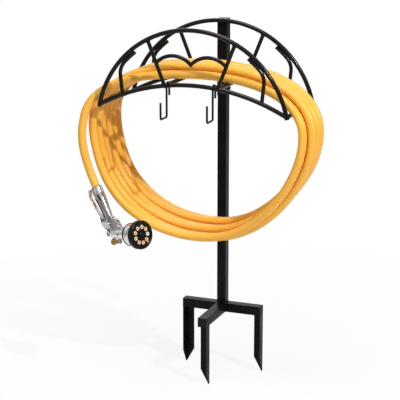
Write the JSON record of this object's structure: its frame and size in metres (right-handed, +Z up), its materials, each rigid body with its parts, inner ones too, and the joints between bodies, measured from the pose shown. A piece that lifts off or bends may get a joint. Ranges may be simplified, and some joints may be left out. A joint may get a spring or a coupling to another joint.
{
  "type": "freestanding hose holder",
  "caption": "Freestanding garden hose holder: square post on ground prongs, arched wire hanger with loose hooks, carrying a coiled hose and a spray nozzle.",
  "frame": {"origin": "on the post's axis at the ground line, level with the underside of the base arms; the prongs go into the ground below it", "axes": "+Z up the post; -Y to the front, towards the free frame of the hanger; +X to the right as seen from the front"},
  "size_m": [0.6471, 0.364, 0.9872],
  "materials": {
    "black_paint": "semi-gloss black powder coat",
    "black_plastic": "matte",
    "dark_steel": "black plated",
    "hose_rubber": "satin yellow-orange jacket",
    "seal_rubber": "matte black",
    "brass": "machined",
    "nozzle_chrome": "satin chrome",
    "nozzle_steel": "bright zinc",
    "dial_plastic": "satin black",
    "outlet_plastic": "satin, cream to orange"
  },
  "bodies": {
    "stand": {"lower_post": "black_paint", "upper_post": "black_paint", "post_cap": "black_plastic", "left_arm": "black_paint", "right_arm": "black_paint", "front_arm": "black_paint", "arm_end_plugs": "black_plastic", "left_prong": "black_paint", "right_prong": "black_paint", "front_prong": "black_paint", "sleeve_bolt": "dark_steel", "sleeve_washers": "dark_steel", "sleeve_nut": "dark_steel", "front_arch": "black_paint", "front_lower_arc": "black_paint", "front_spokes": "black_paint", "front_curls": "black_paint", "double_arch": "black_paint", "back_arch": "black_paint", "back_lower_arc": "black_paint", "back_spokes": "black_paint", "back_curls": "black_paint", "corner_rods": "black_paint", "inner_rods": "black_paint"},
    "left_hook": {"left_hook": "black_paint"},
    "right_hook": {"right_hook": "black_paint"},
    "hose": {"hose_coil": "hose_rubber", "hose_tail": "hose_rubber", "hose_ferrule": "brass", "hose_washer": "seal_rubber", "hose_male_end": "brass", "inlet_washer": "seal_rubber", "inlet_collar": "nozzle_steel", "nozzle_body": "nozzle_chrome", "barrel_ring": "seal_rubber", "dial_collar": "nozzle_chrome", "dial_screw": "dial_plastic", "lever_pin": "nozzle_steel"},
    "tap_nut": {"swivel_nut": "brass"},
    "nozzle_lever": {"lever": "nozzle_chrome"},
    "nozzle_valve": {"valve_stem": "nozzle_steel", "stem_knob": "brass"},
    "nozzle_dial": {"dial": "dial_plastic", "spray_outlets": "outlet_plastic"},
    "flow_control": {"flow_knob": "brass"}
  },
  "joints": [
    {"name": "hose_lift", "type": "slide", "parent": "stand", "child": "hose", "axis": [0, 0, 1], "range_m": [0, 0.12]},
    {"name": "left_hook_swing", "type": "hinge", "parent": "stand", "child": "left_hook", "pos_m": [-0.063, -0.23645, 0.66881], "axis": [1, 0, 0], "range_deg": [-45, 45]},
    {"name": "right_hook_swing", "type": "hinge", "parent": "stand", "child": "right_hook", "pos_m": [0.063, -0.23645, 0.66881], "axis": [1, 0, 0], "range_deg": [-45, 45]},
    {"name": "tap_nut_spin", "type": "hinge", "parent": "hose", "child": "tap_nut", "pos_m": [0.045, -0.06223, 0.6885], "axis": [1, 0, 0], "continuous": true},
    {"name": "lever_squeeze", "type": "hinge", "parent": "hose", "child": "nozzle_lever", "pos_m": [-0.2138, -0.2651, 0.29495], "axis": [0.4305, 0.9026, 0], "range_deg": [0, 7.5], "stiffness_Nm_per_rad": 2, "springref_deg": -14.32},
    {"name": "valve_pull", "type": "slide", "parent": "hose", "child": "nozzle_valve", "axis": [-0.8889, 0.424, -0.1736], "range_m": [0, 0.0041]},
    {"name": "dial_turn", "type": "hinge", "parent": "hose", "child": "nozzle_dial", "pos_m": [-0.11017, -0.31453, 0.2888], "axis": [0.8889, -0.424, 0.1736], "continuous": true},
    {"name": "flow_turn", "type": "hinge", "parent": "hose", "child": "flow_control", "pos_m": [-0.19927, -0.27203, 0.24976], "axis": [0.8889, -0.424, 0.1736], "range_deg": [0, 270]}
  ],
  "couplings": [
    {"joint": "valve_pull", "follows": "lever_squeeze", "m_per_rad": 0.0295}
  ]
}
